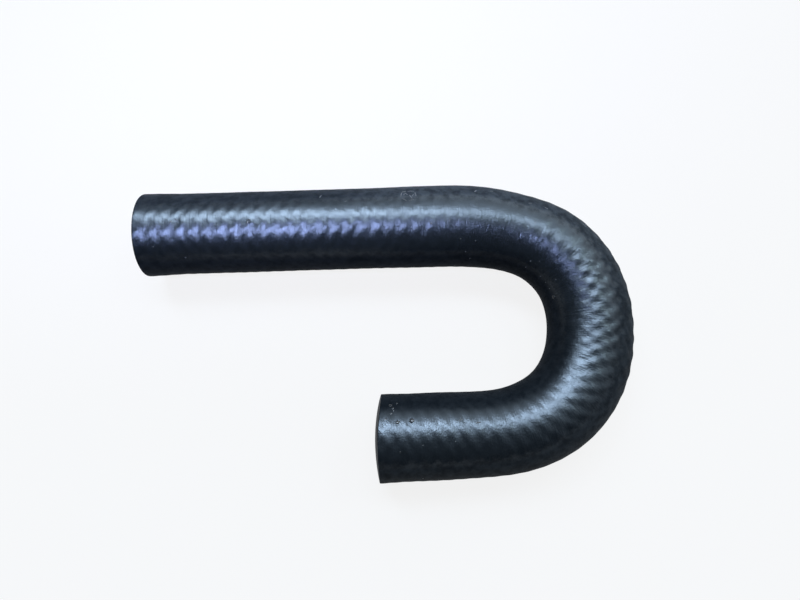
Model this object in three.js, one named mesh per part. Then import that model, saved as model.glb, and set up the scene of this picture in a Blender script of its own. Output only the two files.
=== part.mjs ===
// A moulded coolant hose for an exhaust gas recirculation cooler. It is one piece of black rubber
// with a yarn braid inside its wall, cured on a bent mandrel into a flat J: a long leg, a turn of
// half a circle and a short leg. The braid shows through the skin as a shallow diamond relief.
//
// Lengths are in millimetres and angles in degrees. The hose lies flat, as it comes to rest: its
// legs run along x, the long one on the +y side, and its lowest point is at z = 0.

import * as THREE from "three";

// The wall.
const BORE_DIAMETER = 19;
const WALL = 4;

// The centreline: a straight long leg, the turn, and a straight short leg.
const LONG_LEG = 95;
const SHORT_LEG = 27.6;

// The turn is made of three eased bends that run into each other. Each starts this far after the
// long leg, takes up this much of the centreline, and turns it by this angle.
const FIRST_BEND = { after: 0, along: 51, turn: 28.8 };
const SECOND_BEND = { after: 28.8, along: 44, turn: 57.9 };
const THIRD_BEND = { after: 59.5, along: 73.6, turn: 92.8 };
const BENDS = [FIRST_BEND, SECOND_BEND, THIRD_BEND];

// Forming leaves the hose a little fuller ahead of the turn, and a little necked where it goes
// into the turn and comes out of it: the place of each after the long leg, how far it reaches to
// each side, and how far the skin stands out.
const FULL_BEFORE_TURN = { after: 3.2, reach: 26, height: 0.22 };
const NECK_INTO_TURN = { after: 29.6, reach: 15, height: -0.26 };
const NECK_OUT_OF_TURN = { after: 125.3, reach: 17, height: -0.25 };
const SWELLS = [FULL_BEFORE_TURN, NECK_INTO_TURN, NECK_OUT_OF_TURN];

// Both ends open out slightly where they came off the mandrel.
const LONG_END_FLARE = { reach: 14, height: 0.3 };
const SHORT_END_FLARE = { reach: 10, height: 0.15 };

// Both ends are cut flat by hand, so neither cut is quite square. Each cut face looks this much
// upwards, and this much to the left of the run from the long end to the short end.
const LONG_END_CUT = { upwards: 3.1, sideways: 0.4 };
const SHORT_END_CUT = { upwards: 4, sideways: -1.3 };
const CUT_REACH = 20;

// The braid: yarns each way round, the wanted distance along the hose from one crossing to the
// next, and how far its relief stands above and below the skin.
const YARNS_EACH_WAY = 12;
const CROSSING_PITCH = 4.4;
const BRAID_RELIEF = 0.12;

const BORE_SIDES = 16;
const WALK_STEP = 0.25;

const BORE_RADIUS = BORE_DIAMETER / 2;
const OUTER_RADIUS = BORE_RADIUS + WALL;
const TURN_LENGTH = Math.max(...BENDS.map((bend) => bend.after + bend.along));
const LENGTH = LONG_LEG + TURN_LENGTH + SHORT_LEG;

// Two rings of points to each crossing, on its crest and in the pit after it.
const STEPS = 2 * Math.round(LENGTH / CROSSING_PITCH);
const RING_PITCH = LENGTH / STEPS;
const SIDES = 2 * YARNS_EACH_WAY;

const radians = THREE.MathUtils.degToRad;

// A round section's corners, anticlockwise from +x.
function circle(radius, sides) {
  return Array.from({ length: sides }, (_, i) => {
    const angle = (2 * Math.PI * i) / sides;
    return new THREE.Vector2(radius * Math.cos(angle), radius * Math.sin(angle));
  });
}

// The hose as it is before forming: a straight round tube from z = 0 to z = LENGTH.
function straightBlank() {
  const section = new THREE.Shape(circle(OUTER_RADIUS, SIDES));
  section.holes.push(new THREE.Path(circle(BORE_RADIUS, BORE_SIDES)));
  return new THREE.ExtrudeGeometry(section, {
    depth: LENGTH,
    steps: STEPS,
    bevelEnabled: false,
  });
}

// A soft bump of height 1 that reaches zero, with no kink, at -1 and 1.
function bump(t) {
  return Math.abs(t) < 1 ? (1 - t * t) ** 2 : 0;
}

// How far forming moves the wall outwards at a place along the hose.
function fullness(along) {
  const swells = SWELLS.map(({ after, reach, height }) => {
    return height * bump((along - LONG_LEG - after) / reach);
  });
  const longEnd = LONG_END_FLARE.height * bump(along / LONG_END_FLARE.reach);
  const shortEnd = SHORT_END_FLARE.height * bump((LENGTH - along) / SHORT_END_FLARE.reach);
  return swells.reduce((sum, height) => sum + height, longEnd + shortEnd);
}

// The braid's relief: crests where two yarns cross, and pits between the crossings.
function braidRelief(along, angle) {
  return BRAID_RELIEF * Math.cos(YARNS_EACH_WAY * angle) * Math.cos((Math.PI * along) / RING_PITCH);
}

// How far a cut's slant moves a point along the hose, outwards past the end. It fades into the
// wall over CUT_REACH. The point is given in the section, with sideways to +x and upwards to +y.
function slant(cut, point, fromEnd) {
  const share = 1 - THREE.MathUtils.smoothstep(fromEnd, 0, CUT_REACH);
  const lean = Math.tan(radians(cut.upwards)) * point.y + Math.tan(radians(cut.sideways)) * point.x;
  return -share * lean;
}

// The centreline's heading, turned clockwise from +x as seen from above.
function heading(along) {
  const turned = BENDS.map(({ after, along: length, turn }) => {
    const start = LONG_LEG + after;
    return turn * THREE.MathUtils.smoothstep(along, start, start + length);
  });
  return -radians(turned.reduce((sum, turn) => sum + turn, 0));
}

// The centreline's places at every WALK_STEP or a little less, walked from the long end.
function walkCentreline() {
  const count = Math.ceil(LENGTH / WALK_STEP);
  const step = LENGTH / count;
  const places = [new THREE.Vector2(0, 0)];
  for (let i = 0; i < count; i += 1) {
    const middle = heading((i + 0.5) * step);
    const next = places[i].clone();
    next.x += step * Math.cos(middle);
    next.y += step * Math.sin(middle);
    places.push(next);
  }
  return { places, step };
}

// A place on the centreline. Past either end it goes straight on, as the legs do.
function placeAt({ places, step }, along) {
  const i = THREE.MathUtils.clamp(Math.floor(along / step), 0, places.length - 2);
  return places[i].clone().lerp(places[i + 1], along / step - i);
}

// Gives the straight blank its braid, its fullness and its cuts, then bends it to the centreline.
function form(blank) {
  const centreline = walkCentreline();
  const points = blank.getAttribute("position");
  const point = new THREE.Vector3();
  const heights = [];
  for (let i = 0; i < points.count; i += 1) {
    point.fromBufferAttribute(points, i);
    const angle = Math.atan2(point.y, point.x);
    const blankRadius = Math.hypot(point.x, point.y);
    const outside = blankRadius > (BORE_RADIUS + OUTER_RADIUS) / 2;
    const relief = outside ? braidRelief(point.z, angle) : 0;
    const radius = blankRadius + fullness(point.z) + relief;
    const inSection = new THREE.Vector2(radius * Math.cos(angle), radius * Math.sin(angle));
    const along =
      point.z +
      slant(SHORT_END_CUT, inSection, LENGTH - point.z) -
      slant(LONG_END_CUT, inSection, point.z);
    const place = placeAt(centreline, along);
    const turned = heading(along);
    points.setXYZ(
      i,
      place.x - inSection.x * Math.sin(turned),
      place.y + inSection.x * Math.cos(turned),
      inSection.y,
    );
    heights.push(relief);
  }
  return heights;
}

// The walls of the blank are quads, each stored as the triangles a b d and b c d. A quad whose
// crests are a and c is split between those instead, so that a yarn's crest is one ridge.
function splitAlongCrests(blank, heights) {
  const points = blank.getAttribute("position");
  const wallGroup = blank.groups[1];
  const copy = (to, from) => points.setXYZ(to, points.getX(from), points.getY(from), points.getZ(from));
  for (let at = wallGroup.start; at < wallGroup.start + wallGroup.count; at += 6) {
    const across = heights[at + 1] + heights[at + 2];
    const other = heights[at] + heights[at + 4];
    if (other > across) {
      copy(at + 2, at + 4);
      copy(at + 3, at);
    }
  }
}

// Puts the origin below the middle of the hose's box, on the surface that the hose lies on.
function standOnGround(geometry) {
  geometry.computeBoundingBox();
  const { min, max } = geometry.boundingBox;
  geometry.translate(-(min.x + max.x) / 2, -(min.y + max.y) / 2, -min.z);
}

function makeHose() {
  const geometry = straightBlank();
  const heights = form(geometry);
  splitAlongCrests(geometry, heights);
  standOnGround(geometry);
  geometry.computeVertexNormals();
  const rubber = new THREE.MeshStandardMaterial({ color: 0x1b1f24, roughness: 0.5, metalness: 0 });
  const hose = new THREE.Mesh(geometry, rubber);
  hose.name = "hose";
  return hose;
}

const part = new THREE.Group();
part.add(makeHose());

export default part;
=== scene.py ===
# A moulded coolant hose in black rubber, bent into a flat J. The yarn braid inside its wall shows
# through the skin, and the skin has small blisters, specks and scuffs from moulding and handling.
# Lengths are in metres and angles in degrees, unless a comment says otherwise.
import math

import bpy
import numpy as np
from bpy.props import FloatProperty, FloatVectorProperty, IntProperty, PointerProperty
from mathutils import Matrix, Vector


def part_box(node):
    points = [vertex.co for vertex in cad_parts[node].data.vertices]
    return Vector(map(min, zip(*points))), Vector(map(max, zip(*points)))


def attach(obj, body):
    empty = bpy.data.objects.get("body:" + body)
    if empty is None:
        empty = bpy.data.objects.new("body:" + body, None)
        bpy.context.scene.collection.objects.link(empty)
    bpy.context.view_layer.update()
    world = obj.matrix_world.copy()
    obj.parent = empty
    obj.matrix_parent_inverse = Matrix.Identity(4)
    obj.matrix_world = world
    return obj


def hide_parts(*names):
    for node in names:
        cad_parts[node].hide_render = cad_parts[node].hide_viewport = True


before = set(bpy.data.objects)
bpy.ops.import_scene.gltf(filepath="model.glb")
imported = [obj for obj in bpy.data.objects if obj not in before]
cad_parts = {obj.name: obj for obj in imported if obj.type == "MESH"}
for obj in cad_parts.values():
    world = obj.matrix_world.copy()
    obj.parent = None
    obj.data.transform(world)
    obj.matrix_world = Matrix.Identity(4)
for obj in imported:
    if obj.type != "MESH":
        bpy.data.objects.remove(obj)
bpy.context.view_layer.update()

bl_info = {
    "name": "Coolant Hose",
    "version": (1, 0, 0),
    "blender": (4, 5, 0),
    "location": "3D View > Sidebar > Coolant Hose",
    "description": "Makes a moulded coolant hose with a braided wall, and a studio for it",
    "category": "Add Mesh",
}

# What the frame calls the body and the node.
BODY = "root"
NODE = "hose"

MM = 0.001

# The turn is made of three eased bends that run into each other: where each starts after the long
# leg, how much of the centreline it takes up, and by how much it turns it.
FIRST_BEND = (0, 51 * MM, 28.8)
SECOND_BEND = (28.8 * MM, 44 * MM, 57.9)
THIRD_BEND = (59.5 * MM, 73.6 * MM, 92.8)
BENDS = (FIRST_BEND, SECOND_BEND, THIRD_BEND)
TURN_LENGTH = max(after + length for after, length, _ in BENDS)
WALK_STEP = 0.25 * MM

# The hose is a little fuller ahead of the turn, and a little necked where it goes into the turn
# and comes out of it: the place of each after the long leg, its reach to each side, its height.
FULL_BEFORE_TURN = (3.2 * MM, 26 * MM, 0.22 * MM)
NECK_INTO_TURN = (29.6 * MM, 15 * MM, -0.26 * MM)
NECK_OUT_OF_TURN = (125.3 * MM, 17 * MM, -0.25 * MM)
SWELLS = (FULL_BEFORE_TURN, NECK_INTO_TURN, NECK_OUT_OF_TURN)

# Both ends open out slightly: reach and height.
LONG_END_FLARE = (14 * MM, 0.3 * MM)
SHORT_END_FLARE = (10 * MM, 0.15 * MM)

# How much each hand cut looks upwards and to the left of the run from the long end to the short
# end, how far it stands out above and below, and how far all of it stands out.
LONG_END_CUT = (3.1, 0.4, 0, 0.65 * MM)
SHORT_END_CUT = (4, -2.8, 1.3 * MM, -0.95 * MM)
CUT_REACH = 20 * MM

# Where the braid hardly shows through: place along the hose, place round it, and the reach each
# way. Angles round the hose start at its left side and rise towards its upper side.
SMOOTH_BEFORE_TURN = (112 * MM, 118, 20 * MM, 62)
SMOOTH_INSIDE_TURN = (166 * MM, 172, 62 * MM, 92)
SMOOTH_PLACES = (SMOOTH_BEFORE_TURN, SMOOTH_INSIDE_TURN)
SMOOTH_SHARE = 0.8

# Where the braid stands out: the same four, and how much is added to the plain share of it that
# shows everywhere.
STRETCHED_ON_TURN = (164 * MM, 60, 50 * MM, 82, 2.4)
DRAWN_ON_LONG_LEG = (42 * MM, 104, 96 * MM, 52, 0.8)
DRAWN_ON_SHORT_LEG = (232 * MM, 82, 45 * MM, 48, 0.6)
DRAWN_PLACES = (STRETCHED_ON_TURN, DRAWN_ON_LONG_LEG, DRAWN_ON_SHORT_LEG)
PLAIN_SHARE = 0.5

# One crossing's place along the hose and round it. The others follow from it.
BRAID_START = 152.5 * MM
BRAID_TURN = 82.5

# On the long leg the braid is wound a little round, towards the left side: by how much, how far
# along that starts to fade, and over what length.
BRAID_TWIST = (-6, 90 * MM, 60 * MM)

# Towards both ends the crossings lie a little closer together: how far the last ones are moved
# along the hose, and how far from the end that fades.
LONG_END_CREEP = (2.8 * MM, 90 * MM)
SHORT_END_CREEP = (-1.6 * MM, 32 * MM)

# How much more one family of yarns shows than the other: a steady share, which changes over from
# the long leg to the short leg, and a share for whichever yarn lies on top.
BRAID_LEAN = 0.3
BRAID_ON_TOP = 0.35

# Slow unevenness: its seed, its height, and its longest and shortest waves. It shifts the yarns
# along the hose, changes the braid's relief by a share, and moves the skin.
YARN_WANDER = (3, 0.3 * MM, 60 * MM, 9 * MM)
RELIEF_DRIFT = (5, 0.25, 45 * MM, 8 * MM)
SKIN_WAVES = (11, 0.035 * MM, 70 * MM, 14 * MM)
WAVES = 14
MOST_TURNS = 6

# The surface's grid, and the share of the rim's radius at which a cut's own material starts.
SKIN_ROWS_PER_CROSSING = 9
COLUMNS_PER_YARN = 13
BORE_ROWS = 46
CUT_ROWS = 7
RIM_ROWS = 3
CUT_STARTS = 0.6


class HoseSizes(bpy.types.PropertyGroup):
    """The sizes of the hose"""

    bore: FloatProperty(
        name="Bore", description="Inside diameter", default=19 * MM, unit="LENGTH"
    )
    wall: FloatProperty(
        name="Wall", description="Wall thickness", default=4 * MM, unit="LENGTH"
    )
    long_leg: FloatProperty(
        name="Long leg", description="Straight length ahead of the turn",
        default=95 * MM, unit="LENGTH",
    )
    short_leg: FloatProperty(
        name="Short leg", description="Straight length after the turn",
        default=27.6 * MM, unit="LENGTH",
    )
    yarns: IntProperty(
        name="Yarns", description="Braid yarns each way round", default=12, min=4
    )
    crossing_pitch: FloatProperty(
        name="Crossing pitch", description="Distance along the hose between yarn crossings",
        default=4.4 * MM, unit="LENGTH",
    )
    braid_relief: FloatProperty(
        name="Braid relief", description="How far the braid stands out through the skin",
        default=0.07 * MM, unit="LENGTH",
    )
    rim: FloatProperty(
        name="Rim", description="Radius of the worn edges of the cuts",
        default=0.22 * MM, unit="LENGTH",
    )


class HoseFinish(bpy.types.PropertyGroup):
    """The colours and the gloss of the rubber"""

    skin: FloatVectorProperty(
        name="Skin", description="Black rubber of the skin", subtype="COLOR", size=3,
        default=(0.0045, 0.007, 0.0098), min=0, max=1,
    )
    bloom: FloatVectorProperty(
        name="Bloom", description="Pale film that comes out of old rubber", subtype="COLOR",
        size=3, default=(0.0085, 0.0112, 0.015), min=0, max=1,
    )
    cut: FloatVectorProperty(
        name="Cut face", description="Freshly cut rubber", subtype="COLOR", size=3,
        default=(0.045, 0.045, 0.046), min=0, max=1,
    )
    speck: FloatVectorProperty(
        name="Specks", description="Dust moulded into the skin", subtype="COLOR", size=3,
        default=(0.16, 0.165, 0.17), min=0, max=1,
    )
    roughness: FloatProperty(
        name="Roughness", description="Roughness of the skin", default=0.318, min=0, max=1
    )


class StudioLight(bpy.types.PropertyGroup):
    """The studio's lamps"""

    window: FloatProperty(
        name="Window lamp", description="Radiance of the large cool lamp", default=13.8, min=0
    )
    pane: FloatProperty(
        name="Pane lamp", description="Radiance of the second cool lamp, by the long leg",
        default=11.3, min=0,
    )
    side: FloatProperty(
        name="Side lamp", description="Radiance of the cool lamp beyond the turn",
        default=12.5, min=0,
    )
    strip: FloatProperty(
        name="Strip lamp", description="Radiance of the small violet lamp", default=7.6, min=0
    )
    fill: FloatProperty(
        name="Fill", description="Strength of the light from all round", default=0.06, min=0
    )
    wall: FloatProperty(
        name="Wall", description="Strength of the light from the pale wall beyond the hose",
        default=1.25, min=0,
    )


def ease(t):
    """Rises from 0 to 1 as t does, level at both ends: three squares less two cubes of t."""
    t = np.clip(t, 0, 1)
    return t * t * (3 - 2 * t)


def bump(t):
    """A soft bump of height 1 that ends, with no kink, at -1 and 1: one less t squared, squared."""
    return np.where(np.abs(t) < 1, (1 - t * t) ** 2, 0.0)


def ripple(unevenness, along, angle):
    """Smooth unevenness of about its height: a sum of cosines along and round the hose, each with
    a length between the longest and the shortest, whole turns round, and a seeded phase."""
    seed, height, longest, shortest = unevenness
    random = np.random.default_rng(seed)
    lengths = np.geomspace(longest, shortest, WAVES)
    turns = random.integers(-MOST_TURNS, MOST_TURNS + 1, WAVES)
    phases = random.uniform(0, 2 * math.pi, WAVES)
    total = np.zeros(np.broadcast(along, angle).shape)
    for length, turn, phase in zip(lengths, turns, phases):
        total += np.cos(2 * math.pi * along / length + turn * angle + phase)
    return height * (total / math.sqrt(2 * WAVES))


class Hose:
    """The hose's shape as formulas: places on it are given by the distance along the centreline
    from the long end, the angle round it in radians, and the depth below the skin."""

    def __init__(self, sizes):
        self.bore_radius = sizes.bore / 2
        self.wall = sizes.wall
        self.outer_radius = self.bore_radius + sizes.wall
        self.long_leg = sizes.long_leg
        self.length = sizes.long_leg + TURN_LENGTH + sizes.short_leg
        self.yarns = sizes.yarns
        crossings = round(self.length / sizes.crossing_pitch)
        self.pitch = self.length / crossings
        self.crossings = crossings
        self.relief = sizes.braid_relief
        self.rim = sizes.rim
        self.walk_centreline()
        self.place_long_end()

    def heading(self, along):
        """The centreline's heading in radians: the bends' eased turns added up, clockwise."""
        turned = 0
        for after, length, turn in BENDS:
            turned = turned - math.radians(turn) * ease((along - self.long_leg - after) / length)
        return turned

    def walk_centreline(self):
        """Adds up short steps, each along the heading at its middle."""
        count = math.ceil(self.length / WALK_STEP)
        self.step = self.length / count
        middles = self.heading((np.arange(count) + 0.5) * self.step)
        self.walk_x = np.concatenate(([0], np.cumsum(self.step * np.cos(middles))))
        self.walk_y = np.concatenate(([0], np.cumsum(self.step * np.sin(middles))))
        self.walked = np.arange(count + 1) * self.step

    def place_long_end(self):
        """Sets the hose in the solid's box: the long end's flare reaches the box's top and its
        left side, and the slanted cut the box's end."""
        lowest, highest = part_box(NODE)
        height = (highest[2] - lowest[2]) / 2
        slant = math.tan(math.radians(LONG_END_CUT[0])) * height
        self.start = (lowest[0] + slant, highest[1] - height, height)

    def centreline(self, along):
        """The walked places, joined by straight lines, and straight on past either end."""
        inside = np.clip(along, 0, self.length)
        past = along - inside
        turned = self.heading(along)
        x = np.interp(inside, self.walked, self.walk_x) + past * np.cos(turned)
        y = np.interp(inside, self.walked, self.walk_y) + past * np.sin(turned)
        return self.start[0] + x, self.start[1] + y

    def fullness(self, along):
        """The swells and the two flares added up, each a soft bump."""
        total = LONG_END_FLARE[1] * bump(along / LONG_END_FLARE[0])
        total = total + SHORT_END_FLARE[1] * bump((self.length - along) / SHORT_END_FLARE[0])
        for after, reach, height in SWELLS:
            total = total + height * bump((along - self.long_leg - after) / reach)
        return total

    def braid(self, along, angle):
        """The relief of a plain braid, from about -1 to 1. Each family of yarns is a set of
        ridges along a helix. Where they cross they add up, and the yarn that lies on top, the
        one family and the other in turn, makes the crossing longer its own way."""
        around = self.yarns * (angle - math.radians(BRAID_TURN) - self.twist(along))
        moved = along + ripple(YARN_WANDER, along, angle) - self.creep(along)
        forward = 2 * math.pi * (moved - BRAID_START) / self.pitch
        one_way = np.cos(around + forward)
        other_way = np.cos(around - forward)
        on_top = (np.cos(around) + np.cos(forward)) / 2
        lean = BRAID_LEAN * self.side(along) + BRAID_ON_TOP * on_top
        return (one_way + other_way) / 2 + lean * (one_way - other_way) / 2

    def creep(self, along):
        """How far along the crossings are moved: at both ends, eased away from them."""
        long_end, long_reach = LONG_END_CREEP
        short_end, short_reach = SHORT_END_CREEP
        near_short_end = 1 - ease((self.length - along) / short_reach)
        return long_end * (1 - ease(along / long_reach)) + short_end * near_short_end

    def twist(self, along):
        """How far round the braid is wound, in radians: all of it on the long leg, eased away."""
        wound, start, reach = BRAID_TWIST
        return math.radians(wound) * (1 - ease((along - start) / reach))

    def side(self, along):
        """1 on the long leg, eased down to -1 on the short leg."""
        return 1 - 2 * ease((along - self.long_leg) / TURN_LENGTH)

    def near(self, region, along, angle):
        """A soft bump along the hose times another round it, 1 at the middle of the region."""
        place, turn, reach, spread = region
        around = np.angle(np.exp(1j * (angle - math.radians(turn))))
        return bump((along - place) / reach) * bump(around / math.radians(spread))

    def braid_share(self, along, angle):
        """How much of the braid shows: a plain share with soft bumps at the drawn places added,
        times a slow drift, and then less by the root of a soft bump at each smooth place."""
        share = PLAIN_SHARE
        for *region, extra in DRAWN_PLACES:
            share = share + extra * self.near(region, along, angle)
        share = share * (1 + ripple(RELIEF_DRIFT, along, angle))
        for smooth in SMOOTH_PLACES:
            share = share * (1 - SMOOTH_SHARE * np.sqrt(self.near(smooth, along, angle)))
        return share

    def skin_height(self, along, angle):
        """How far the skin stands out: the braid times its share, and long low waves."""
        braid = self.relief * self.braid_share(along, angle) * self.braid(along, angle)
        return braid + ripple(SKIN_WAVES, along, angle)

    def cut_offset(self, cut, left, up, from_end):
        """How far a cut moves a place out past the end: a slanted plane, bowed by the square of
        the height, which fades into the wall."""
        upwards, sideways, bow, further = cut
        lean = math.tan(math.radians(upwards)) * up + math.tan(math.radians(sideways)) * left
        bowed = bow * (up / self.outer_radius) ** 2
        return (1 - ease(from_end / CUT_REACH)) * (further + bowed - lean)

    def places(self, along, angle, depth, skin_share, proud=0):
        """Points of the hose, in a last axis of three. The radius is the skin's, less the depth
        and plus how proud a mark stands. The point is put in the section square to the
        centreline, left by the cosine and up by the sine of the angle, at the distance along
        that the cuts move it to."""
        height = skin_share * self.skin_height(along, angle)
        radius = self.outer_radius - depth + self.fullness(along) + height + proud
        left = radius * np.cos(angle)
        up = radius * np.sin(angle)
        moved = along + self.cut_offset(SHORT_END_CUT, left, up, self.length - along)
        moved = moved - self.cut_offset(LONG_END_CUT, left, up, along)
        turned = self.heading(moved)
        x, y = self.centreline(moved)
        return np.stack(
            (x - left * np.sin(turned), y + left * np.cos(turned), self.start[2] + up), axis=-1
        )


def loop_rows(hose):
    """The grid's rows, in a loop round the wall: distances along the hose, and depths. They run
    over the skin, the short end's cut, back through the bore, and over the long end's cut."""
    back, depth = end_rows(hose.wall, hose.rim)
    rows = SKIN_ROWS_PER_CROSSING * hose.crossings
    skin = np.linspace(hose.rim, hose.length - hose.rim, rows)
    bore = np.linspace(hose.length - hose.rim, hose.rim, BORE_ROWS)[1:-1]
    along = np.concatenate((skin, hose.length - back, bore, back[::-1]))
    depths = np.concatenate((0 * skin, depth, 0 * bore + hose.wall, depth[::-1]))
    return along, depths


def end_rows(wall, rim):
    """From the skin over a cut to the bore: distances back from the end, and depths. A quarter
    circle, a flat and a quarter circle."""
    arc = np.linspace(0, math.pi / 2, RIM_ROWS + 1)[1:]
    flat = np.linspace(rim, wall - rim, CUT_ROWS + 1)[1:-1]
    back = np.concatenate((rim * (1 - np.sin(arc)), 0 * flat, rim * (1 - np.cos(arc))))
    depth = np.concatenate((rim * (1 - np.cos(arc)), flat, wall - rim * (1 - np.sin(arc))))
    return back, depth


def mesh_object(name, points, faces, materials, face_materials=None):
    """A smooth mesh object at the origin."""
    mesh = bpy.data.meshes.new(name)
    mesh.from_pydata(points.reshape(-1, 3).tolist(), [], list(faces))
    for material in materials:
        mesh.materials.append(material)
    if face_materials is not None:
        mesh.polygons.foreach_set("material_index", face_materials)
    mesh.polygons.foreach_set("use_smooth", np.ones(len(mesh.polygons), dtype=bool))
    mesh.update()
    piece = bpy.data.objects.new(name, mesh)
    bpy.context.scene.collection.objects.link(piece)
    return piece


def quads(rows, columns):
    """The faces of a grid that closes on itself both ways."""
    row = np.arange(rows)[:, None]
    column = np.arange(columns)[None, :]
    next_row = (row + 1) % rows
    next_column = (column + 1) % columns
    corners = (
        row * columns + column,
        row * columns + next_column,
        next_row * columns + next_column,
        next_row * columns + column,
    )
    return np.stack(np.broadcast_arrays(*corners), axis=-1).reshape(-1, 4).tolist()


class Nodes:
    """The node tree of a new material or world, with short calls to add and join nodes."""

    def __init__(self, name, library="materials", shader="Principled BSDF"):
        self.owner = getattr(bpy.data, library).new(name)
        self.owner.use_nodes = True
        self.tree = self.owner.node_tree
        self.shader = self.tree.nodes[shader]

    def set(self, node, sockets):
        """Links each socket that is given another socket, and sets the others to a value."""
        for name, value in sockets.items():
            if isinstance(value, bpy.types.NodeSocket):
                self.tree.links.new(value, node.inputs[name])
            else:
                node.inputs[name].default_value = value

    def add(self, kind, sockets=None, **settings):
        node = self.tree.nodes.new("ShaderNode" + kind)
        for name, value in settings.items():
            setattr(node, name, value)
        self.set(node, sockets or {})
        return node

    def math(self, operation, first, second=0.0):
        return self.add("Math", {0: first, 1: second}, operation=operation).outputs[0]

    def coordinates(self, kind="Object"):
        return self.add("TexCoord").outputs[kind]

    def noise(self, vector, scale, detail, roughness=0.5):
        sockets = {"Vector": vector, "Scale": scale, "Detail": detail, "Roughness": roughness}
        return self.add("TexNoise", sockets).outputs["Fac"]

    def remap(self, value, low, high, to_low, to_high):
        """A value's range from low to high, eased to another range, and held past either end."""
        sockets = {0: value, 1: low, 2: high, 3: to_low, 4: to_high}
        return self.add("MapRange", sockets, interpolation_type="SMOOTHSTEP").outputs[0]

    def blend(self, share, first, second):
        """The first colour where the share is 0, the second where it is 1."""
        node = self.add("Mix", {"Factor": share}, data_type="RGBA")
        colours = [socket for socket in node.inputs if socket.type == "RGBA"]
        for socket, colour in zip(colours, (first, second)):
            if isinstance(colour, bpy.types.NodeSocket):
                self.tree.links.new(colour, socket)
            else:
                socket.default_value = (*colour, 1)
        return next(socket for socket in node.outputs if socket.type == "RGBA")

    def relief(self, height, distance, under=None):
        """Fine relief in the shading alone, over another relief if one is given."""
        sockets = {"Height": height, "Distance": distance, "Strength": 1.0}
        if under is not None:
            sockets["Normal"] = under
        return self.add("Bump", sockets).outputs["Normal"]

    def surface(self, colour, roughness, relief, **others):
        """Sets the shader's sockets, and gives the material."""
        sockets = {"Base Color": colour, "Roughness": roughness, "Normal": relief}
        self.set(self.shader, {**sockets, **others})
        return self.owner


# The range that most of a noise lies in, and a narrower one for more contrast.
NOISE_RANGE = (0.3, 0.7)
SHARP_RANGE = (0.35, 0.65)

# The skin's noises: waves to the metre, levels of detail, and how much the finer ones count. The
# hairlines have their waves in their coordinates: to the metre along the hose, and round it.
BLOOM_PATCHES = (55, 3)
SKIN_MOTTLE = (420, 3, 0.6)
SKIN_GRAIN = (1400, 2, 0.6)
HAIRLINE_WAVES = (1300, 2.6)
HAIRLINES = (1, 3, 0.65)
HAIRLINE_DEPTH = 0.09 * MM
MOTTLE_DEPTH = 0.06 * MM
GRAIN_DEPTH = 0.055 * MM
RUBBER_IOR = 1.95

# The bloom's share, where its noise goes over a range.
BLOOM_RANGE = (0.35, 0.7)
BLOOM_SHARE = (0.1, 0.8)

# How much less and more than the plain roughness there is, where the mottle goes over a range.
ROUGHNESS_RANGE = (0.3, 0.75)
ROUGHNESS_LESS = 0.03
ROUGHNESS_MORE = 0.06

# The waxy film is glossy where it is seen squarely, and matt at a slant. As the skin turns away,
# from 0 to 1, the gloss fades over the first range, and the roughness grows over the second. The
# film gives what it mirrors a cool tint.
FULL_GLOSS = 0.5
GLOSS_FADES = (0.06, 0.26)
MATT_GROWS = (0.16, 0.36)
MATT_GROWTH = 0.6
FILM_TINT = (0.8, 0.91, 1, 1)

# The gloss that is left at a slant: inside the bend, on the top and the outer side, and on the
# handled part of those, given by its middle along the hose, its reach, and the share of the reach
# that is handled fully. The mottle makes this gloss less or more by a factor.
INNER_GLOSS = 0.08
OUTER_GLOSS = 0.17
HANDLED_GLOSS = 0.36
HANDLED_PLACE = (112 * MM, 62 * MM)
HANDLED_CORE = 0.3
GLOSS_FACTORS = (0.5, 1.5)

# The outer side starts, and is whole, where the cosine of the place round the hose is this.
OUTER_SIDE = (-0.45, 0.1)

# On the top and the outer side the film changes at a greater slant, by this much, up to a place
# along the hose: where that starts to end, and where it has ended.
OUTER_FADES_LATER = 0.1
AHEAD_ENDS = (135 * MM, 185 * MM)


def wrapped(nodes, loop_length, along_scale, around_scale):
    """Coordinates that run along the hose and close round it, from its UV map: the distance along
    times a scale, then the cosine and the sine of the angle round, times another."""
    parts = nodes.add("SeparateXYZ", {0: nodes.coordinates("UV")})
    along = nodes.math("MULTIPLY", parts.outputs[0], loop_length * along_scale)
    angle = nodes.math("MULTIPLY", parts.outputs[1], 2 * math.pi)
    left = nodes.math("MULTIPLY", nodes.math("COSINE", angle), around_scale)
    up = nodes.math("MULTIPLY", nodes.math("SINE", angle), around_scale)
    return nodes.add("CombineXYZ", {0: along, 1: left, 2: up}).outputs[0]


def skin_shares(nodes, loop_length):
    """Three shares of 0 to 1 from the hose's UV map: the top and the outer side of the bend, as
    against its inner side; the hose ahead of the turn; and the part that was handled."""
    parts = nodes.add("SeparateXYZ", {0: nodes.coordinates("UV")}).outputs
    outwards = nodes.math("SINE", nodes.math("MULTIPLY", parts[1], 2 * math.pi))
    outer = nodes.remap(outwards, *OUTER_SIDE, 0, 1)
    along = nodes.math("MULTIPLY", parts[0], loop_length)
    ahead = nodes.remap(along, *AHEAD_ENDS, 1, 0)
    place, reach = HANDLED_PLACE
    away = nodes.math("ABSOLUTE", nodes.math("SUBTRACT", along, place))
    return outer, ahead, nodes.remap(away, HANDLED_CORE * reach, reach, 1, 0)


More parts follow.
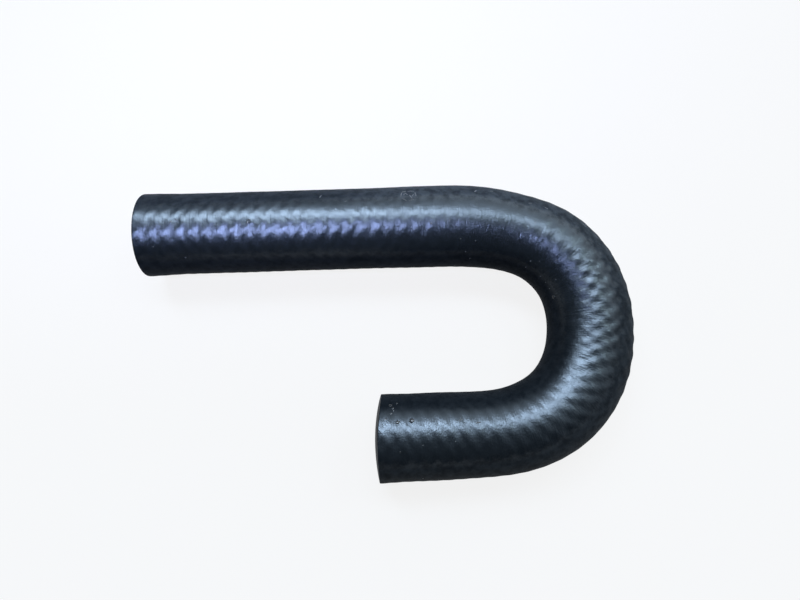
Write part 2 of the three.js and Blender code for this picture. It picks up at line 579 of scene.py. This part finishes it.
def skin_material(finish, loop_length):
    """Satin black rubber: patches of bloom, fine grain, and hairlines round the hose."""
    nodes = Nodes("satin_rubber")
    place = nodes.coordinates()
    patches = nodes.noise(place, *BLOOM_PATCHES)
    grain = nodes.noise(place, *SKIN_GRAIN)
    mottle = nodes.noise(place, *SKIN_MOTTLE)
    hairlines = nodes.noise(wrapped(nodes, loop_length, *HAIRLINE_WAVES), *HAIRLINES)
    bloom = nodes.math("MULTIPLY", nodes.remap(patches, *BLOOM_RANGE, *BLOOM_SHARE), mottle)
    colour = nodes.blend(bloom, finish.skin, finish.bloom)
    outer, ahead, handled = skin_shares(nodes, loop_length)
    facing = nodes.add("LayerWeight", {"Blend": 0.5}).outputs["Facing"]
    later = nodes.math("MULTIPLY", nodes.math("MULTIPLY", outer, ahead), OUTER_FADES_LATER)
    facing = nodes.math("SUBTRACT", facing, later)
    low, high = finish.roughness - ROUGHNESS_LESS, finish.roughness + ROUGHNESS_MORE
    rough = nodes.remap(mottle, *ROUGHNESS_RANGE, low, high)
    rough = nodes.math("ADD", rough, nodes.remap(facing, *MATT_GROWS, 0, MATT_GROWTH))
    edge = nodes.add("Mix", {"Factor": handled, 2: OUTER_GLOSS, 3: HANDLED_GLOSS}).outputs[0]
    edge = nodes.add("Mix", {"Factor": outer, 2: INNER_GLOSS, 3: edge}).outputs[0]
    edge = nodes.math("MULTIPLY", edge, nodes.remap(mottle, *NOISE_RANGE, *GLOSS_FACTORS))
    fade = nodes.remap(facing, *GLOSS_FADES, 0, 1)
    gloss = nodes.add("Mix", {"Factor": fade, 2: FULL_GLOSS, 3: edge}).outputs[0]
    relief = nodes.relief(hairlines, HAIRLINE_DEPTH)
    relief = nodes.relief(mottle, MOTTLE_DEPTH, relief)
    relief = nodes.relief(grain, GRAIN_DEPTH, relief)
    film = {"Specular IOR Level": gloss, "Specular Tint": FILM_TINT}
    return nodes.surface(colour, rough, relief, IOR=RUBBER_IOR, **film)


# The knife's lines on the cut faces: how far they are turned about the hose's run, in radians,
# the scale that draws them out along one axis, and their noise. Then the pores' noise.
KNIFE_TURN = (0.5, 0, 0)
KNIFE_STRETCH = (1, 0.12, 1)
KNIFE_DRAG = (3200, 3, 0.6)
PORES = (2600, 2)
DRAG_DEPTH = 0.06 * MM
PORE_DEPTH = 0.04 * MM
CUT_DARKEST = 0.75
CUT_ROUGHNESS = 0.72

# The ring of yarn ends: its depth as a share of the wall's thickness, how far from that depth it
# starts and ends fading, the part of each yarn's wave that is yarn, and how much of it shows.
YARN_RING = 0.42
YARN_RING_FADES = (0.06, 0.16)
YARN_WAVE = (0.35, 0.8)
YARN_SHOWS = 0.45
YARN_DEPTH = 0.08 * MM
YARN_COLOUR = (0.12, 0.115, 0.105)


def darker(colour, share):
    """A share of a colour."""
    return [share * channel for channel in colour]


def cut_material(finish, yarns):
    """Matt rubber that a knife went through: drag lines, pores and a faint ring of yarn ends."""
    nodes = Nodes("cut_rubber")
    place = nodes.coordinates()
    turned = nodes.add("Mapping", {"Vector": place, "Rotation": KNIFE_TURN}).outputs[0]
    stretched = nodes.add("Mapping", {"Vector": turned, "Scale": KNIFE_STRETCH}).outputs[0]
    drag = nodes.noise(stretched, *KNIFE_DRAG)
    pores = nodes.noise(place, *PORES)
    depth = nodes.add("Attribute", attribute_name="wall_depth").outputs["Fac"]
    away = nodes.math("ABSOLUTE", nodes.math("SUBTRACT", depth, YARN_RING))
    ring = nodes.remap(away, *YARN_RING_FADES, 1, 0)
    angle = nodes.add("SeparateXYZ", {0: nodes.coordinates("UV")}).outputs[1]
    wave = nodes.math("COSINE", nodes.math("MULTIPLY", angle, 2 * math.pi * yarns))
    yarn_ends = nodes.math("MULTIPLY", ring, nodes.remap(wave, *YARN_WAVE, 0, 1))
    light = nodes.remap(drag, *NOISE_RANGE, 0, 1)
    shade = nodes.blend(light, darker(finish.cut, CUT_DARKEST), finish.cut)
    colour = nodes.blend(nodes.math("MULTIPLY", yarn_ends, YARN_SHOWS), shade, YARN_COLOUR)
    relief = nodes.relief(drag, DRAG_DEPTH)
    relief = nodes.relief(pores, PORE_DEPTH, relief)
    relief = nodes.relief(yarn_ends, YARN_DEPTH, relief)
    return nodes.surface(colour, CUT_ROUGHNESS, relief)


# The bore: the waves of its draw lines, to the metre along it and round it, and their noise, the
# mottle's noise, the range of its roughness, and how deep the lines and the mottle are.
DRAW_LINE_WAVES = (25, 40)
DRAW_LINES = (1, 2)
BORE_MOTTLE = (300, 3)
BORE_ROUGHNESS = (0.42, 0.55)
DRAW_LINE_DEPTH = 0.05 * MM
BORE_MOTTLE_DEPTH = 0.03 * MM


def bore_material(finish, loop_length):
    """Smoother rubber that the mandrel left, with faint draw lines along the bore."""
    nodes = Nodes("bore_rubber")
    draw_lines = nodes.noise(wrapped(nodes, loop_length, *DRAW_LINE_WAVES), *DRAW_LINES)
    mottle = nodes.noise(nodes.coordinates(), *BORE_MOTTLE)
    rough = nodes.remap(mottle, *NOISE_RANGE, *BORE_ROUGHNESS)
    colour = nodes.blend(mottle, finish.skin, finish.bloom)
    relief = nodes.relief(draw_lines, DRAW_LINE_DEPTH)
    relief = nodes.relief(mottle, BORE_MOTTLE_DEPTH, relief)
    return nodes.surface(colour, rough, relief)


class COOLANT_HOSE_OT_mould(bpy.types.Operator):
    """Mould the hose: skin, cut ends and bore in one closed surface"""

    bl_idname = "coolant_hose.mould"
    bl_label = "Mould the hose"

    def execute(self, context):
        finish = context.scene.hose_finish
        hose = Hose(context.scene.hose_sizes)
        along, depths = loop_rows(hose)
        steps = np.hypot(np.diff(along, append=along[0]), np.diff(depths, append=depths[0]))
        walked = np.concatenate(([0], np.cumsum(steps)))
        columns = COLUMNS_PER_YARN * hose.yarns
        # The seam of the UV map runs underneath.
        angle = 2 * math.pi * np.arange(columns) / columns - math.pi / 2
        skin_share = 1 - ease(depths / hose.rim)
        points = hose.places(
            along[:, None], angle[None, :], depths[:, None], skin_share[:, None]
        )
        faces = quads(len(along), columns)
        middle = (depths + np.roll(depths, -1)) / 2
        cut_starts = CUT_STARTS * hose.rim
        in_bore = middle >= hose.wall - cut_starts
        row_materials = np.where(in_bore, 2, np.where(middle > cut_starts, 1, 0))
        materials = (
            skin_material(finish, walked[-1]),
            cut_material(finish, hose.yarns),
            bore_material(finish, walked[-1]),
        )
        piece = mesh_object(
            "moulded_hose", points, faces, materials, np.repeat(row_materials, columns)
        )
        self.unwrap(piece.data, walked, columns)
        attribute = piece.data.attributes.new("wall_depth", "FLOAT", "POINT")
        attribute.data.foreach_set("value", np.repeat(depths / hose.wall, columns))
        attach(piece, BODY)
        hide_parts(NODE)
        return {"FINISHED"}

    def unwrap(self, mesh, walked, columns):
        """The surface unrolls into the whole UV square: round the loop from skin over the ends
        and back through the bore, and round the hose."""
        rows = len(walked) - 1
        low = np.repeat(walked[:-1] / walked[-1], columns)
        high = np.repeat(walked[1:] / walked[-1], columns)
        left = np.tile(np.arange(columns) / columns, rows)
        right = left + 1 / columns
        corners = np.stack(
            (np.stack((low, left), 1), np.stack((low, right), 1),
             np.stack((high, right), 1), np.stack((high, left), 1)), axis=1
        )
        layer = mesh.uv_layers.new(name="unrolled")
        layer.data.foreach_set("uv", corners.ravel())


# Marks on the skin, in millimetres and degrees: place along the hose, place round it, length and
# width, and how far the length is turned away from the hose's run.
BLISTERS = (
    (245.3, 112.5, 1.7, 1.5, 0), (249.8, 111, 1.4, 1.2, 10), (251.5, 131.5, 0.8, 0.6, 0),
    (251.9, 123.5, 0.9, 0.6, 20), (253.5, 115.5, 1.2, 0.5, 15), (251.3, 128, 0.6, 0.6, 0),
    (250.3, 140.5, 0.7, 0.5, 0), (249.0, 74, 0.7, 0.6, 0), (225.2, 106.5, 1.9, 0.45, 0),
    (230.4, 111.5, 1.3, 0.45, 40), (94.5, 104.5, 0.8, 0.7, 0), (12.4, 91, 0.9, 0.7, 30),
    (14.1, 88.5, 0.8, 0.6, -20), (36.4, 96, 0.9, 0.6, 15),
)
CRATERS = (
    (154.5, 152, 1.5, 1.3, 0), (36.9, 93, 1.5, 1.1, 0), (252.4, 136.5, 1.2, 1, 0),
)
WORN_OVAL = (
    (90, 57.5, 2.6, 0.4, 98), (88.9, 50.2, 2, 0.35, 150), (86.4, 50.4, 1.8, 0.45, 205),
    (85.4, 57.5, 2.8, 0.4, 262), (86.3, 67.6, 2.2, 0.45, 322), (88.6, 69.2, 2.3, 0.35, 22),
    (87, 56, 2.2, 0.3, 125), (88.4, 62.5, 2.6, 0.35, 118),
)
SPECKS = (
    (104.1, 125.5, 0.7, 0.5, 0), (109.4, 127.5, 0.6, 0.5, 0), (106.3, 145, 0.5, 0.6, 0),
    (108.3, 157.5, 0.6, 0.6, 0), (131.5, 153.5, 0.6, 0.5, 0), (132.1, 140.5, 0.7, 0.6, 0),
    (135.7, 134, 0.6, 0.5, 0), (141.4, 151.5, 0.6, 0.6, 0), (145.8, 152, 0.6, 0.5, 0),
    (149.7, 152, 0.5, 0.5, 0), (147.5, 136, 0.5, 0.5, 0), (15.6, 142, 0.6, 0.5, 0),
    (6.4, 124, 0.5, 0.4, 0), (232.4, 84.5, 0.5, 0.4, 0), (242.0, 81.5, 0.6, 0.4, 0),
    (242.2, 26.5, 0.7, 0.5, 0),
)
SCUFFS = (
    (125, 57, 1.5, 0.3, 30), (129.6, 56.5, 1.2, 0.3, -20), (108.8, 51, 1.7, 0.4, 60),
    (113.6, 47, 1.3, 0.3, 20), (93.6, 35, 1.2, 0.4, 0), (59.3, 55.5, 1.7, 0.4, 70),
    (67.5, 67.5, 1.1, 0.3, 40), (86.3, 57, 1.5, 0.3, 80), (89.1, 60, 1.8, 0.3, 60),
    (87.9, 50, 1.2, 0.3, 10), (141.2, 118.5, 1.6, 0.25, 50), (146.7, 117, 1.8, 0.25, 40),
    (100.4, 101, 1.5, 0.25, 80), (139.9, 44, 1.6, 0.4, 10), (143.7, 42, 1.5, 0.35, -10),
    (127.8, 88, 0.9, 0.35, 60),
)

# How tall each kind is, as a share of its half width. From this width on, in millimetres, a mark
# gets no taller.
BLISTER_HEIGHT = 0.28
CRATER_HEIGHT = 0.2
SPECK_HEIGHT = 0.25
SCUFF_HEIGHT = 0.2
WIDEST_THAT_COUNTS = 1.5

# A mark's grid, how deep its underside lies below the skin, and how far its edge sinks.
MARK_RINGS = 6
MARK_COLUMNS = 16
MARK_DEPTH = 0.12 * MM
MARK_EDGE = 0.015 * MM

# A crater's lip, between its middle at 0 and its edge at 1, and how deep its floor is.
LIP_PLACE = 0.72
LIP_REACH = 0.28
CRATER_FLOOR = 0.1


def dome(reach):
    """1 at the middle and 0 at the edge: one less the square of the reach."""
    return 1 - reach * reach


def crater(reach):
    """A round lip between the middle and the edge, and a floor just below the skin."""
    return bump((reach - LIP_PLACE) / LIP_REACH) - CRATER_FLOOR * (1 - reach)


def lenses(hose, marks, share, profile):
    """The points and faces of closed lenses on the skin. Each runs from its middle out over the
    top by the profile, sinks a little at its edge, and runs back below the skin at one depth. It
    is as tall as a share of its half width."""
    place, turn, length, width, lean = np.array(marks, dtype=float).T
    tall = share * np.minimum(np.minimum(length, width), WIDEST_THAT_COUNTS) / 2 * MM
    out = np.linspace(0, 1, MARK_RINGS + 1)[1:]
    reach = np.concatenate((out, out[-2::-1]))[None, :, None]
    top = tall[:, None] * profile(out) - MARK_EDGE * out
    under = np.full((len(marks), MARK_RINGS - 1), -MARK_DEPTH)
    proud = np.concatenate((top, under), axis=1)[:, :, None]
    around = 2 * math.pi * np.arange(MARK_COLUMNS) / MARK_COLUMNS
    run = reach * length[:, None, None] / 2 * np.cos(around)
    side = reach * width[:, None, None] / 2 * np.sin(around)
    lean = np.radians(lean)[:, None, None]
    along = (place[:, None, None] + run * np.cos(lean) - side * np.sin(lean)) * MM
    swing = (run * np.sin(lean) + side * np.cos(lean)) * MM / hose.outer_radius
    rings = hose.places(along, np.radians(turn)[:, None, None] - swing, 0, 1, proud)
    middle = np.stack((tall * profile(np.zeros(1)), np.full(len(marks), -MARK_DEPTH)), axis=1)
    poles = hose.places(place[:, None] * MM, np.radians(turn)[:, None], 0, 1, middle)
    points = np.concatenate((rings.reshape(len(marks), -1, 3), poles), axis=1)
    faces = lens_faces(rings.shape[1]) + points.shape[1] * np.arange(len(marks))[:, None, None]
    return points.reshape(-1, 3), faces.reshape(-1, 4)


def lens_faces(rows):
    """The faces of one lens: a grid that closes round, and a fan at each pole, whose faces name
    the pole twice."""
    row = np.arange(-1, rows)[:, None]
    column = np.arange(MARK_COLUMNS)[None, :]
    first_pole = rows * MARK_COLUMNS
    last_pole = first_pole + 1

    def corner(row, column):
        index = row * MARK_COLUMNS + column % MARK_COLUMNS
        return np.where(row < 0, first_pole, np.where(row == rows, last_pole, index))

    corners = (corner(row, column), corner(row + 1, column))
    corners = corners + (corner(row + 1, column + 1), corner(row, column + 1))
    return np.stack(np.broadcast_arrays(*corners), axis=-1).reshape(-1, 4)


def joined(*shapes):
    """Several shapes' points and faces as one, with the repeated corners of fans dropped."""
    counts = np.cumsum([0] + [len(points) for points, _ in shapes])
    points = np.concatenate([points for points, _ in shapes])
    faces = np.concatenate([faces + count for (_, faces), count in zip(shapes, counts)])
    whole = [list(dict.fromkeys(face)) for face in faces.tolist()]
    return points, whole


# The noises of the marks, how deep they are, and what they do to the colour and the roughness.
BLISTER_MOTTLE = (900, 2)
BLISTER_ROUGHNESS = (0.22, 0.32)
SPECK_MOTTLE = (1800, 2, 0.6)
SPECK_ROUGHNESS = 0.75
SPECK_DARKEST = 0.4
MARK_MOTTLE_DEPTH = 0.05 * MM


def blister_material(finish):
    """Rubber that cured against a bubble: glossier than the skin, and a little uneven."""
    nodes = Nodes("glossy_rubber")
    uneven = nodes.noise(nodes.coordinates(), *BLISTER_MOTTLE)
    colour = nodes.blend(nodes.remap(uneven, *SHARP_RANGE, 0, 1), finish.skin, finish.bloom)
    rough = nodes.remap(uneven, *NOISE_RANGE, *BLISTER_ROUGHNESS)
    relief = nodes.relief(uneven, MARK_MOTTLE_DEPTH)
    return nodes.surface(colour, rough, relief, IOR=RUBBER_IOR)


def speck_material(finish):
    """Pale dust and rubbed rubber, patchy and matt."""
    nodes = Nodes("pale_dust")
    patchy = nodes.noise(nodes.coordinates(), *SPECK_MOTTLE)
    share = nodes.remap(patchy, *SHARP_RANGE, 0, 1)
    colour = nodes.blend(share, darker(finish.speck, SPECK_DARKEST), finish.speck)
    relief = nodes.relief(patchy, MARK_MOTTLE_DEPTH)
    return nodes.surface(colour, SPECK_ROUGHNESS, relief)


class COOLANT_HOSE_OT_mark_skin(bpy.types.Operator):
    """Add the small blisters, specks and scuffs on the skin"""

    bl_idname = "coolant_hose.mark_skin"
    bl_label = "Mark the skin"

    def execute(self, context):
        finish = context.scene.hose_finish
        hose = Hose(context.scene.hose_sizes)
        raised = joined(
            lenses(hose, BLISTERS, BLISTER_HEIGHT, dome),
            lenses(hose, CRATERS, CRATER_HEIGHT, crater),
        )
        pale = joined(
            lenses(hose, SPECKS, SPECK_HEIGHT, dome),
            lenses(hose, SCUFFS, SCUFF_HEIGHT, dome),
            lenses(hose, WORN_OVAL, SCUFF_HEIGHT, dome),
        )
        pieces = (
            ("skin_blisters", raised, blister_material(finish)),
            ("pale_specks", pale, speck_material(finish)),
        )
        for name, (points, faces), material in pieces:
            piece = mesh_object(name, points, faces, [material])
            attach(piece, BODY)
        return {"FINISHED"}


# Where the studio's camera stands, and how it is tilted, turned and rolled.
CAMERA_PLACE = (3.17 * MM, -26.86 * MM, 194.42 * MM)
CAMERA_TILT = 11.395
CAMERA_TURN = -0.462
CAMERA_ROLL = -1.9
CAMERA_LENS = 25
CAMERA_SENSOR = 36
CAMERA_CLIP = 0.01

# Each lamp: its middle, the place that it faces, its length and width, how far it is turned in
# its own plane, the cone that its light fills, and its colour.
WINDOW_COLOUR = (0.67, 0.81, 1.0)
WINDOW = {
    "place": (-0.03, 0.553, 1.2), "aim": (0, 0, 0), "size": (0.8, 0.27), "turn": -14,
    "cone": 180, "colour": WINDOW_COLOUR,
}
PANE = {
    "place": (-0.48, 0.762, 1.15), "aim": (0, 0, 0), "size": (0.5, 0.34), "turn": -30,
    "cone": 180, "colour": WINDOW_COLOUR,
}
SIDE = {
    "place": (0.72, 0.44, 1.15), "aim": (0, 0, 0), "size": (0.14, 0.26), "turn": 0,
    "cone": 180, "colour": (0.72, 0.92, 1.0),
}
STRIP = {
    "place": (-0.084, -0.027, 0.3), "aim": (-0.027, 0.135, 0), "size": (0.184, 0.032), "turn": 6,
    "cone": 52, "colour": (0.49, 0.57, 1.0),
}

# The room's colour and the way to its pale wall, and the floor, just below the hose.
ROOM_COLOUR = (0.8, 0.9, 1, 1)
WALL_DIRECTION = (0.75, 0.66, 0)
FLOOR_COLOUR = (0.7, 0.7, 0.7, 1)
FLOOR_ROUGHNESS = 0.9
FLOOR_GLOW = 0.85
FLOOR_REACH = 3
FLOOR_DROP = 0.1 * MM


def stand(place, back, turn):
    """A matrix for a camera or a lamp whose back, its Z axis, points as given. Its X axis is
    square to the world's Y axis until it is turned about its back."""
    level = Vector((0, 1, 0)).cross(back).normalized()
    upright = back.cross(level)
    turn = math.radians(turn)
    across = level * math.cos(turn) + upright * math.sin(turn)
    up = upright * math.cos(turn) - level * math.sin(turn)
    turned = Matrix((across, up, back)).transposed().to_4x4()
    return Matrix.Translation(place) @ turned


class COOLANT_HOSE_OT_set_stage(bpy.types.Operator):
    """Set up the pale floor, the soft lamps and the camera"""

    bl_idname = "coolant_hose.set_stage"
    bl_label = "Set up the studio"

    def execute(self, context):
        light = context.scene.hose_light
        self.lay_floor()
        self.hang_lamp("window_lamp", light.window, **WINDOW)
        self.hang_lamp("pane_lamp", light.pane, **PANE)
        self.hang_lamp("side_lamp", light.side, **SIDE)
        self.hang_lamp("strip_lamp", light.strip, **STRIP)
        self.light_room(context.scene, light.fill, light.wall)
        self.place_camera(context.scene)
        context.scene.view_settings.view_transform = "Standard"
        return {"FINISHED"}

    def lay_floor(self):
        """A wide matt floor. To the camera and in gloss most of its light is its own, so it looks
        nearly white and still shows the hose's shadow faintly."""
        corners = np.array([(-1, -1, 0), (1, -1, 0), (1, 1, 0), (-1, 1, 0)]) * FLOOR_REACH
        corners = corners - np.array([0, 0, FLOOR_DROP])
        nodes = Nodes("white_paper")
        nodes.set(nodes.shader, {"Base Color": FLOOR_COLOUR, "Roughness": FLOOR_ROUGHNESS})
        nodes.set(nodes.shader, {"Specular IOR Level": 0.0})
        path = nodes.add("LightPath").outputs
        seen = nodes.math("MAXIMUM", path["Is Camera Ray"], path["Is Glossy Ray"])
        seen = nodes.math("MAXIMUM", seen, path["Is Transmission Ray"])
        glow = nodes.add("Emission", {"Color": (1, 1, 1, 1), "Strength": 1.0}).outputs[0]
        share = nodes.math("MULTIPLY", seen, FLOOR_GLOW)
        mix = nodes.add("MixShader", {0: share, 1: nodes.shader.outputs[0], 2: glow})
        nodes.set(nodes.tree.nodes["Material Output"], {"Surface": mix.outputs[0]})
        floor = mesh_object("floor", corners, [[0, 1, 2, 3]], [nodes.owner])

    def hang_lamp(self, name, radiance, place, aim, size, turn, cone, colour):
        """A rectangular lamp that faces its aim. Its power is radiance times pi times area."""
        data = bpy.data.lights.new(name, "AREA")
        data.shape = "RECTANGLE"
        data.size, data.size_y = size
        data.spread = math.radians(cone)
        data.energy = radiance * math.pi * size[0] * size[1]
        data.color = colour
        lamp = bpy.data.objects.new(name, data)
        lamp.matrix_world = stand(place, (Vector(place) - Vector(aim)).normalized(), turn)
        lamp.visible_camera = False
        bpy.context.scene.collection.objects.link(lamp)

    def light_room(self, scene, fill, wall):
        """Dim light from all round, and more from a pale wall beyond the hose, towards +X and
        +Y."""
        nodes = Nodes("studio_room", "worlds", "Background")
        towards = nodes.add(
            "VectorMath", {0: nodes.coordinates("Generated"), 1: WALL_DIRECTION},
            operation="DOT_PRODUCT",
        ).outputs["Value"]
        strength = nodes.remap(towards, 0, 1, fill, wall)
        nodes.set(nodes.shader, {"Color": ROOM_COLOUR, "Strength": strength})
        scene.world = nodes.owner

    def place_camera(self, scene):
        """A camera that looks down, tilted and turned, and rolled about its line of sight."""
        tilt = math.radians(CAMERA_TILT)
        turn = math.radians(CAMERA_TURN)
        back = Vector(
            (math.sin(turn) * math.cos(tilt), -math.sin(tilt), math.cos(turn) * math.cos(tilt))
        )
        data = bpy.data.cameras.new("photo_camera")
        data.sensor_fit = "HORIZONTAL"
        data.sensor_width = CAMERA_SENSOR
        data.lens = CAMERA_LENS
        data.clip_start = CAMERA_CLIP
        camera = bpy.data.objects.new("photo_camera", data)
        camera.matrix_world = stand(CAMERA_PLACE, back, CAMERA_ROLL)
        scene.collection.objects.link(camera)
        scene.camera = camera


class COOLANT_HOSE_PT_panel(bpy.types.Panel):
    """The hose's sizes, finish and steps"""

    bl_idname = "COOLANT_HOSE_PT_panel"
    bl_label = "Coolant Hose"
    bl_space_type = "VIEW_3D"
    bl_region_type = "UI"
    bl_category = "Coolant Hose"

    def draw(self, context):
        scene = context.scene
        for group in (scene.hose_sizes, scene.hose_finish, scene.hose_light):
            box = self.layout.box()
            for name in group.bl_rna.properties.keys():
                if name not in ("rna_type", "name"):
                    box.prop(group, name)
        for operator in OPERATORS:
            self.layout.operator(operator.bl_idname)


GROUPS = (
    ("hose_sizes", HoseSizes),
    ("hose_finish", HoseFinish),
    ("hose_light", StudioLight),
)
OPERATORS = (COOLANT_HOSE_OT_mould, COOLANT_HOSE_OT_mark_skin, COOLANT_HOSE_OT_set_stage)


def register():
    for name, group in GROUPS:
        bpy.utils.register_class(group)
        setattr(bpy.types.Scene, name, PointerProperty(type=group))
    for operator in OPERATORS:
        bpy.utils.register_class(operator)
    bpy.utils.register_class(COOLANT_HOSE_PT_panel)


def unregister():
    bpy.utils.unregister_class(COOLANT_HOSE_PT_panel)
    for operator in reversed(OPERATORS):
        bpy.utils.unregister_class(operator)
    for name, group in reversed(GROUPS):
        delattr(bpy.types.Scene, name)
        bpy.utils.unregister_class(group)


def main():
    register()
    bpy.ops.coolant_hose.mould()
    bpy.ops.coolant_hose.mark_skin()
    bpy.ops.coolant_hose.set_stage()


if __name__ == "__main__":
    main()
